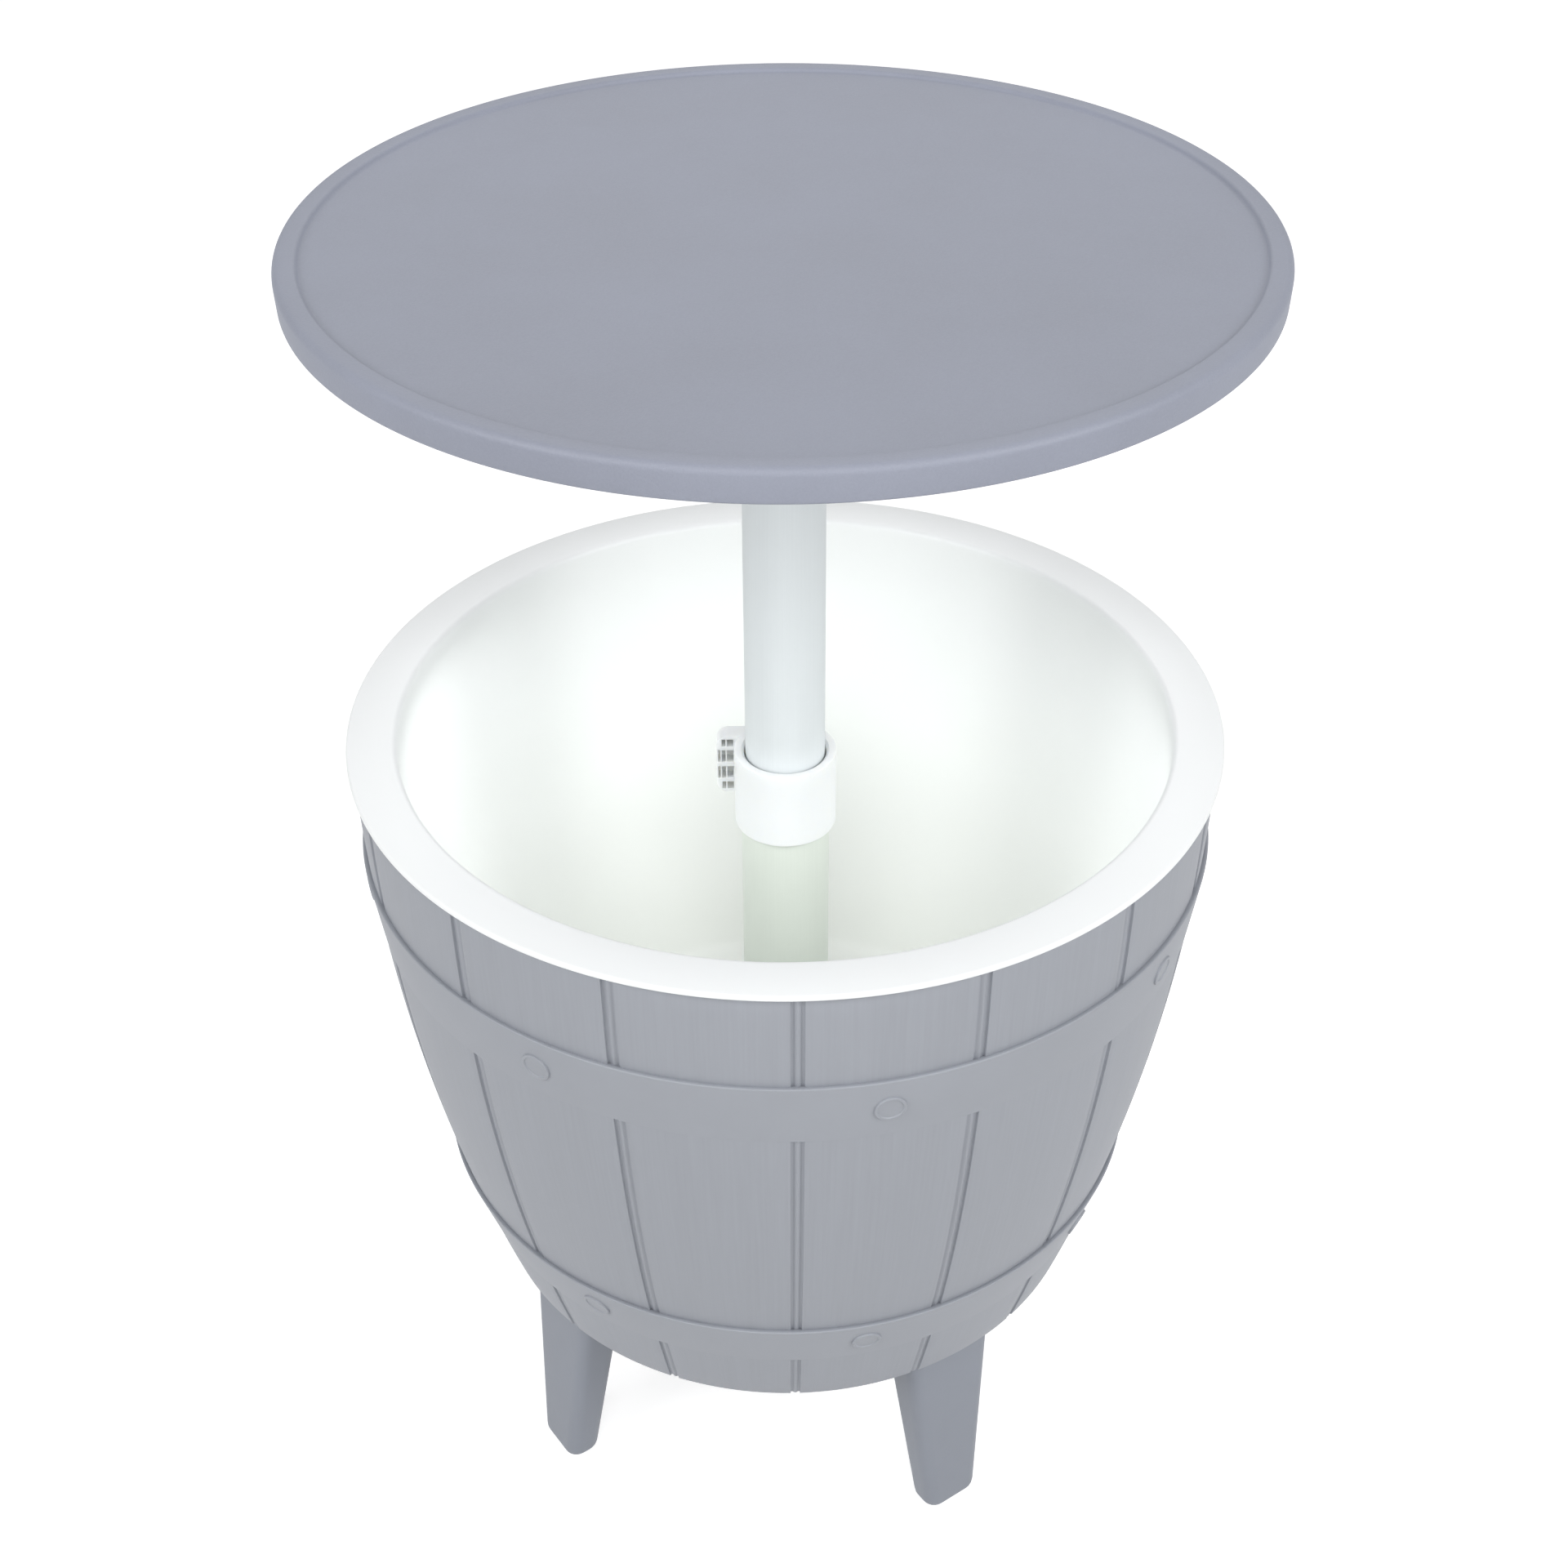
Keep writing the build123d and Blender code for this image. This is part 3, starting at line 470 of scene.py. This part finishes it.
steelLook = {
    "colours": ((0.52, 0.52, 0.53), (0.68, 0.68, 0.69)),
    "scuff": (500, 3, 0.6),
    "base": 0.3,
    "roughness": (0.22, 0.42),
    "bump": (0.05 * mm, 0.3),
}


def makeSteel():
    look = steelLook
    material, tree, shader = newMaterial("screwSteel", look["colours"][1], look["base"])
    shader.inputs["Metallic"].default_value = 1
    scuff = addNoise(tree, objectCoords(tree), *look["scuff"])
    tintBy(tree, shader, scuff, *look["colours"])
    roughenBy(tree, shader, scuff, *look["roughness"])
    bumpBy(tree, shader, scuff, *look["bump"])
    return material


stavePlastic = makeStavePlastic()
hoopPlastic = makeSmoothGrey("hoopPlastic")
topPlastic = makeTopPlastic()
legPlastic = makeSmoothGrey("legPlastic")
linerPlastic = makeLinerPlastic()

slotMaterials = {
    "grey_barrel_plastic": stavePlastic,
    "grey_top_plastic": topPlastic,
    "grey_leg_plastic": legPlastic,
    "white_liner_plastic": linerPlastic,
    "white_clamp_plastic": makeClampPlastic(),
    "upper_tube_coating": makeTubeCoating("upperTubeCoating"),
    "lower_tube_coating": makeTubeCoating("lowerTubeCoating"),
    "dark_grey_plastic": makeSmoothGrey("darkPlastic"),
    "screw_steel": makeSteel(),
    "seal_rubber": makeSmoothGrey("sealRubber"),
}
print("materials made:", len(bpy.data.materials))

for part in frame["record"]["subparts"]:
    for holder in nodes[part["node"]].material_slots:
        holder.material = slotMaterials[part["material_slot"]]
print("materials assigned")

# Barrel side: one arc through its top, middle and foot, shared by the staves, the hoops and the tub.
# In this and the later dictionaries an edge or a corner in brackets is its radius and its steps.
barrel = {
    "topRadius": 237 * mm,
    "middleRadius": 221 * mm,
    "footRadius": 178.5 * mm,
    "wall": 3.5 * mm,
    "floorRecess": 8 * mm,
    "mastHole": 24.9 * mm,
    "footEdge": (1.2 * mm, 3),
    "rows": 26,
}


def circleThrough(first, second, third):  # circle through three points of radius and height
    (r1, h1), (r2, h2), (r3, h3) = first, second, third
    twiceArea = 2 * (r1 * (h2 - h3) + r2 * (h3 - h1) + r3 * (h1 - h2))
    s1, s2, s3 = r1 * r1 + h1 * h1, r2 * r2 + h2 * h2, r3 * r3 + h3 * h3
    centreR = (s1 * (h2 - h3) + s2 * (h3 - h1) + s3 * (h1 - h2)) / twiceArea
    centreH = (s1 * (r3 - r2) + s2 * (r1 - r3) + s3 * (r2 - r1)) / twiceArea
    return centreR, centreH, math.hypot(r1 - centreR, h1 - centreH)


sideCentre, sideLevel, sideRadius = circleThrough(
    (barrel["topRadius"], rimTop),
    (barrel["middleRadius"], (rimTop + shellFoot) / 2),
    (barrel["footRadius"], shellFoot),
)


def sideAt(height, inset):
    return sideCentre + math.sqrt(sideRadius**2 - (height - sideLevel) ** 2) - inset


def sideRun(start, end, inset, count):  # points up or down the barrel's side
    heights = [start + (end - start) * step / count for step in range(count + 1)]
    return [(sideAt(height, inset), height) for height in heights]


# Staves: half a stave, a joint with its bead and half a stave are spun, then copied round the mast
stave = {
    "count": 16,
    "jointWidth": 6.5 * mm,
    "beadWidth": 3.7 * mm,
    "grooveDepth": 1.5 * mm,
    "beadDrop": 0.5 * mm,
    "beadSteps": 4,
    "halfSteps": 6,
    "softness": 0.3 * mm,
    "softSteps": 2,
    "sharpAngle": 30,
    "smoothAngle": 40,
}


def pickNewest(piece, count, test=None):  # the end outline is always the newest vertices
    editMode(piece)
    bpy.ops.mesh.select_all(action="DESELECT")
    objectMode()
    total = len(piece.data.vertices)
    for vertex in piece.data.vertices:
        vertex.select = vertex.index >= total - count and (test is None or test(vertex.co))
    bpy.ops.object.mode_set(mode="EDIT")


def spinOn(piece, count, angle, steps):
    pickNewest(piece, count)
    bpy.ops.mesh.spin(steps=steps, angle=angle, center=(0, 0, 0), axis=(0, 0, 1))


def moveOuterSide(piece, count, before, after):  # takes the end outline's outer side to another depth
    middle = barrel["middleRadius"]
    factor = (middle - after) / (middle - before)
    reach = barrel["wall"] - stave["grooveDepth"] / 2
    pickNewest(piece, count, lambda co: math.hypot(co.x, co.y) > sideAt(co.z, reach))
    bpy.ops.transform.resize(value=(factor, factor, 1), center_override=(0, 0, 0))


def repeatOutline(piece, count):
    pickNewest(piece, count)
    bpy.ops.mesh.extrude_region_move(TRANSFORM_OT_translate={"value": (0, 0, 0)})


def makeBarrel():
    floorLow = shellFoot + barrel["floorRecess"]
    floorHigh = floorLow + barrel["wall"]
    shellTop = rimTop - liner["wall"]
    outline = (
        sideRun(shellFoot, shellTop, 0, barrel["rows"])
        + sideRun(shellTop, floorHigh, barrel["wall"], barrel["rows"] // 2)
        + [(barrel["mastHole"], floorHigh), (barrel["mastHole"], floorLow)]
        + sideRun(floorLow, shellFoot, barrel["wall"], 1)
    )
    piece = tracePath("barrelStaves", outline, closed=True)
    roundCorner(piece, outline[0], *barrel["footEdge"])
    count = len(piece.data.vertices)
    joint = stave["jointWidth"] / barrel["middleRadius"]
    bead = stave["beadWidth"] / barrel["middleRadius"]
    half = math.pi / stave["count"] - joint / 2
    deep = stave["grooveDepth"]
    spinOn(piece, count, half, stave["halfSteps"])
    repeatOutline(piece, count)
    moveOuterSide(piece, count, 0, deep)
    spinOn(piece, count, (joint - bead) / 2, 1)
    depth = deep
    for step in range(1, stave["beadSteps"] + 1):
        rise = math.sin(math.pi * step / stave["beadSteps"])
        nextDepth = deep - (deep - stave["beadDrop"]) * rise
        spinOn(piece, count, bead / stave["beadSteps"], 1)
        moveOuterSide(piece, count, depth, nextDepth)
        depth = nextDepth
    spinOn(piece, count, (joint - bead) / 2, 1)
    repeatOutline(piece, count)
    moveOuterSide(piece, count, deep, 0)
    spinOn(piece, count, half, stave["halfSteps"])
    objectMode()
    piece = copyAround(piece, stave["count"])
    closeUp(piece)
    softenEdges(piece, stave["softness"], stave["softSteps"], stave["sharpAngle"])
    finishPiece(piece, stavePlastic, "tub", stave["smoothAngle"], ("barrel_shell",))


# Hoops with their rivet heads, each hoop a flat band that leans out towards its top edge
hoop = {
    "levels": ((382.5 * mm, 422 * mm), (180.7 * mm, 214.8 * mm)),
    "names": ("upperHoop", "lowerHoop"),
    "lowProud": 0.2 * mm,
    "highProud": 2.6 * mm,
    "root": 2.4 * mm,
    "edge": (0.9 * mm, 4),
    "seam": 0.7 * mm,
    "steps": 240,
    "smoothAngle": 35,
}
rivet = {
    "count": 8,
    "turn": 22.5,
    "radius": 8.3 * mm,
    "proud": 1.1 * mm,
    "root": 1.6 * mm,
    "edge": 0.5 * mm,
    "edgeSteps": 4,
    "ring": 1.0 * mm,
    "dish": 0.55 * mm,
}


def makeHoop(low, high, name):
    lowRadius = sideAt(low, -hoop["lowProud"])
    highRadius = sideAt(high, -hoop["highProud"])
    outline = [
        (sideAt(low, hoop["root"]), low),
        (lowRadius, low),
        (highRadius, high),
        (sideAt(high, -hoop["seam"]), high),
        (sideAt(high, hoop["root"]), high - 2 * hoop["seam"]),
    ]
    band = tracePath(name, outline, closed=True)
    roundCorner(band, outline[2], *hoop["edge"])
    spinRound(band, hoop["steps"])
    finishPiece(band, hoopPlastic, "tub", hoop["smoothAngle"])

    lean = math.atan2(highRadius - lowRadius, high - low)
    clearSelection()
    bpy.ops.mesh.primitive_cylinder_add(
        vertices=precision["roundSides"], radius=rivet["radius"], depth=rivet["proud"] + rivet["root"])
    head = bpy.context.object
    head.name = name + "Rivets"
    selectEdges(head, lambda a, b: a.z > 0 and b.z > 0)
    bpy.ops.mesh.bevel(offset=rivet["edge"], segments=rivet["edgeSteps"])
    selectFaces(head, lambda normal: normal.z > precision["upright"])
    bpy.ops.mesh.inset(thickness=rivet["ring"], depth=0)
    bpy.ops.mesh.inset(thickness=rivet["edge"], depth=-rivet["dish"])
    objectMode()
    proudShift = (rivet["proud"] - rivet["root"]) / 2
    head.rotation_euler.y = math.pi / 2 + lean
    head.location.x = (lowRadius + highRadius) / 2 + proudShift * math.cos(lean)
    head.location.z = (low + high) / 2 - proudShift * math.sin(lean)
    head = copyAround(head, rivet["count"], rivet["turn"])
    finishPiece(head, hoopPlastic, "tub", hoop["smoothAngle"])


# Liner: white tub whose flat rim rests on the barrel
liner = {
    "wall": 3 * mm,
    "gap": 24.4 * mm,
    "corner": 10 * mm,
    "cornerSteps": 8,
    "floor": 177.5 * mm,
    "hole": 29 * mm,
    "drainHole": 10.1 * mm,
    "drainPlace": 104 * mm,
    "rimEdge": (1.4 * mm, 4),
    "underEdge": (0.7 * mm, 2),
    "innerEdge": (3.2 * mm, 5),
    "rows": 16,
    "steps": 240,
    "smoothAngle": 40,
}


def makeLiner():
    floor = liner["floor"]
    underside = floor - liner["wall"]
    shellTop = rimTop - liner["wall"]
    outside = liner["gap"] - liner["wall"]
    outline = (
        [(rimRadius, shellTop), (rimRadius, rimTop)]
        + sideRun(rimTop, floor, liner["gap"], liner["rows"])
        + [(liner["hole"], floor), (liner["hole"], underside)]
        + sideRun(underside, shellTop, outside, liner["rows"])
    )
    inner = liner["corner"]
    outer = inner + liner["wall"]
    piece = tracePath("innerTub", outline, closed=True)
    roundCorner(piece, (rimRadius, rimTop), *liner["rimEdge"])
    roundCorner(piece, (rimRadius, shellTop), *liner["underEdge"])
    roundCorner(piece, (sideAt(rimTop, liner["gap"]), rimTop), *liner["innerEdge"])
    roundCorner(piece, (sideAt(floor, liner["gap"]), floor), inner, liner["cornerSteps"])
    roundCorner(piece, (sideAt(underside, outside), underside), outer, liner["cornerSteps"])
    spinRound(piece, liner["steps"])
    drillHole(piece, (0, liner["drainPlace"], floor), liner["drainHole"], 4 * liner["wall"])
    finishPiece(
        piece, linerPlastic, "tub", liner["smoothAngle"], ("liner_tub", "liner_disc"))


# Legs: tapered posts with rounded upright edges and a rounded foot
leg = {
    "turns": {"rear_right": 45, "rear_left": 135, "front_left": 225, "front_right": 315},
    "footFace": 175.8 * mm,
    "footDepth": 21.2 * mm,
    "footWidth": 35.4 * mm,
    "topFace": 165.6 * mm,
    "topDepth": 30 * mm,
    "topWidth": 63 * mm,
    "corner": 8.4 * mm,
    "footRound": 7.1 * mm,
    "roundSteps": 6,
    "smoothAngle": 50,
}


def makeLeg(place, turn):
    height = shellFoot + barrel["floorRecess"]
    footMiddle = leg["footFace"] - leg["footDepth"] / 2
    topMiddle = leg["topFace"] - leg["topDepth"] / 2
    clearSelection()
    bpy.ops.mesh.primitive_cube_add(size=1, location=(footMiddle, 0, height / 2))
    piece = bpy.context.object
    piece.name = "leg_" + place + "_post"
    piece.scale = (leg["footDepth"], leg["footWidth"], height)
    bpy.ops.object.transform_apply(location=True, scale=True)
    selectVerts(piece, lambda co: co.z > height / 2)
    bpy.ops.transform.resize(
        value=(leg["topDepth"] / leg["footDepth"], leg["topWidth"] / leg["footWidth"], 1),
        center_override=(footMiddle, 0, height))
    bpy.ops.transform.translate(value=(topMiddle - footMiddle, 0, 0))
    selectEdges(piece, lambda a, b: abs(a.z - b.z) > height / 2)
    bpy.ops.mesh.bevel(offset=leg["corner"], segments=leg["roundSteps"], clamp_overlap=False)
    selectEdges(piece, lambda a, b: a.z < mm and b.z < mm)
    bpy.ops.mesh.bevel(offset=leg["footRound"], segments=leg["roundSteps"], clamp_overlap=False)
    turnRound(piece, turn)
    finishPiece(piece, legPlastic, "tub", leg["smoothAngle"], ("leg_" + place,))


# Table top: lid with a raised lip and a skirt, ribbed underneath
table = {
    "lipWidth": 11.5 * mm,
    "lipStep": 2.4 * mm,
    "lipSlope": 1.2 * mm,
    "lipRoundSteps": 3,
    "wall": 3 * mm,
    "skirtDraft": 1 * mm,
    "edge": (4 * mm, 7),
    "skirtEdge": (1.4 * mm, 4),
    "skirtInnerEdge": (0.7 * mm, 2),
    "underCorner": (1.5 * mm, 3),
    "steps": 256,
    "smoothAngle": 35,
}
tableRib = {
    "wall": 2.2 * mm,
    "height": 8.5 * mm,
    "count": 12,
    "rings": (90 * mm, 148 * mm, 206 * mm),
    "seatOuter": 25.5 * mm,
    "seatInner": 22.3 * mm,
}


def makeTableTop():
    face = tableTop - table["lipStep"]
    under = face - table["wall"]
    radius = tableRadius
    lip = (table["lipSlope"], table["lipRoundSteps"])
    outline = [
        (0, face),
        (radius - table["lipWidth"] - table["lipSlope"], face),
        (radius - table["lipWidth"], tableTop),
        (radius, tableTop),
        (radius - table["skirtDraft"], tableFoot),
        (radius - table["skirtDraft"] - table["wall"], tableFoot),
        (radius - table["wall"], under),
        (0, under),
    ]
    edges = (lip, lip, table["edge"], table["skirtEdge"], table["skirtInnerEdge"], table["underCorner"])
    piece = tracePath("tableTopPlate", outline)
    for corner, edge in zip(outline[1:], edges):
        roundCorner(piece, corner, *edge)
    spinRound(piece, table["steps"])

    ribFoot = under - tableRib["height"]
    ribTop = under + table["wall"] / 2
    rings = [(outer - tableRib["wall"], outer) for outer in tableRib["rings"]]
    rings.append((tableRib["seatInner"], tableRib["seatOuter"]))
    parts = [piece]
    for inner, outer in rings:
        section = [(inner, ribFoot), (outer, ribFoot), (outer, ribTop), (inner, ribTop)]
        ring = tracePath("ribRing", section, closed=True)
        spinRound(ring, table["steps"] // 2)
        parts.append(ring)
    reach = tableRib["rings"][-1] - tableRib["wall"] / 2
    start = tableRib["seatInner"] + tableRib["wall"] / 2
    clearSelection()
    bpy.ops.mesh.primitive_cube_add(size=1, location=((start + reach) / 2, 0, (ribFoot + ribTop) / 2))
    rib = bpy.context.object
    rib.scale = (reach - start, tableRib["wall"], ribTop - ribFoot)
    bpy.ops.object.transform_apply(location=True, scale=True)
    parts.append(copyAround(rib, tableRib["count"]))
    piece = joinPieces(parts)
    finishPiece(piece, topPlastic, "top", table["smoothAngle"], ("tabletop",))


makeBarrel()
for level, name in zip(hoop["levels"], hoop["names"]):
    makeHoop(*level, name)
makeLiner()
for place, turn in leg["turns"].items():
    makeLeg(place, turn)
makeTableTop()
print("pieces modelled")

# Camera, matched to the photograph
camera = {
    "turn": 9.95,        # degrees round from the front
    "distance": 1.1039,  # from the mast, in plan
    "height": 0.4625,    # above the table top
    "aside": -0.00032,
    "pitch": 32.104,     # degrees down
    "roll": -0.0047,
    "lens": 55.38,
    "sensor": 36,
    "shift": -0.10,
}


def placeCamera():
    data = bpy.data.cameras.new("photoCamera")
    data.lens = camera["lens"]
    data.sensor_width = camera["sensor"]
    data.shift_y = camera["shift"]
    holder = bpy.data.objects.new("photoCamera", data)
    bpy.context.scene.collection.objects.link(holder)
    turn = math.radians(camera["turn"])
    right = Vector((math.cos(turn), math.sin(turn), 0))
    back = Vector((math.sin(turn), -math.cos(turn), 0))
    place = back * camera["distance"] + right * camera["aside"]
    place.z = tableTop + camera["height"]
    aim = (
        Matrix.Rotation(turn, 4, "Z")
        @ Matrix.Rotation(math.radians(90 - camera["pitch"]), 4, "X")
        @ Matrix.Rotation(camera["roll"], 4, "Z")
    )
    holder.matrix_world = Matrix.Translation(place) @ aim
    bpy.context.scene.camera = holder


placeCamera()
print("camera placed")

# Light: an even pale surround with soft lamps, and faint glows where the table shades the white parts
light = {
    "surround": 0.25,
    "lamps": (  # name, place, size, power
        ("leftLamp", (-1.92, -1.92, 2.2), 1.4, 42),
        ("rightLamp", (2.46, -1.15, 2.2), 1.4, 47),
        ("frontLamp", (0.41, -2.34, 2.64), 1.2, 20),
        ("backLamp", (-0.39, 2.23, 2.76), 1.4, 14),
        ("lowLamp", (0.4, -2.3, 0.9), 1.4, 8),
    ),
    "aim": (0, 0, 0.5),
    "tubGlow": {"turns": (0, 180, 270), "place": 0.13, "height": 0.474, "width": 0.13, "power": 0.045},
    "tableGlow": {"height": 0.735, "width": 0.22, "power": 0.17},
}
studioFloor = {
    "size": 30,
    "colour": (0.65, 0.65, 0.65),
    "roughness": 0.9,
    "specular": 0.1,
    "glow": 0.72,
}


def cameraLikeRays(tree):  # camera, glossy and transmission rays together
    rays = tree.nodes.new("ShaderNodeLightPath").outputs
    seen = addMath(tree, "MAXIMUM", rays["Is Camera Ray"], rays["Is Glossy Ray"])
    return addMath(tree, "MAXIMUM", seen, rays["Is Transmission Ray"])


def addLamp(name, place, size, power):
    data = bpy.data.lights.new(name, "AREA")
    data.size = size
    data.energy = power
    lamp = bpy.data.objects.new(name, data)
    bpy.context.scene.collection.objects.link(lamp)
    lamp.location = place
    return lamp


def addGlow(name, place, width, power):  # a round lamp that shines straight down and isn't seen
    lamp = addLamp(name, place, width, power)
    lamp.data.shape = "DISK"
    lamp.visible_camera = False
    lamp.visible_glossy = False


def lightScene():
    world = bpy.data.worlds.new("studio")
    world.use_nodes = True
    bpy.context.scene.world = world
    tree = world.node_tree
    background = tree.nodes["Background"]
    background.inputs["Color"].default_value = (1, 1, 1, 1)
    strength = remap(tree, cameraLikeRays(tree), light["surround"], 1)
    tree.links.new(strength, background.inputs["Strength"])
    for name, place, size, power in light["lamps"]:
        lamp = addLamp(name, place, size, power)
        toward = Vector(light["aim"]) - Vector(place)
        lamp.rotation_euler = toward.to_track_quat("-Z", "Y").to_euler()
    glow = light["tableGlow"]
    addGlow("tableGlow", (0, 0, glow["height"]), glow["width"], glow["power"])
    glow = light["tubGlow"]
    for turn in glow["turns"]:
        angle = math.radians(turn)
        place = (glow["place"] * math.cos(angle), glow["place"] * math.sin(angle), glow["height"])
        addGlow("tubGlow" + str(turn), place, glow["width"], glow["power"])


def layFloor():
    clearSelection()
    bpy.ops.mesh.primitive_plane_add(size=studioFloor["size"], location=(0, 0, 0))
    floor = bpy.context.object
    floor.name = "studioFloor"
    material, tree, shader = newMaterial(
        "studioFloor", studioFloor["colour"], studioFloor["roughness"], studioFloor["specular"])
    strength = addMath(tree, "MULTIPLY", cameraLikeRays(tree), studioFloor["glow"])
    glow = addNode(tree, "Emission", {"Strength": strength})
    both = addNode(tree, "AddShader", {0: shader.outputs[0], 1: glow[0]})
    tree.links.new(both[0], tree.nodes["Material Output"].inputs["Surface"])
    floor.data.materials.append(material)


lightScene()
layFloor()
bpy.context.scene.view_settings.view_transform = "Standard"
print("light and floor set")
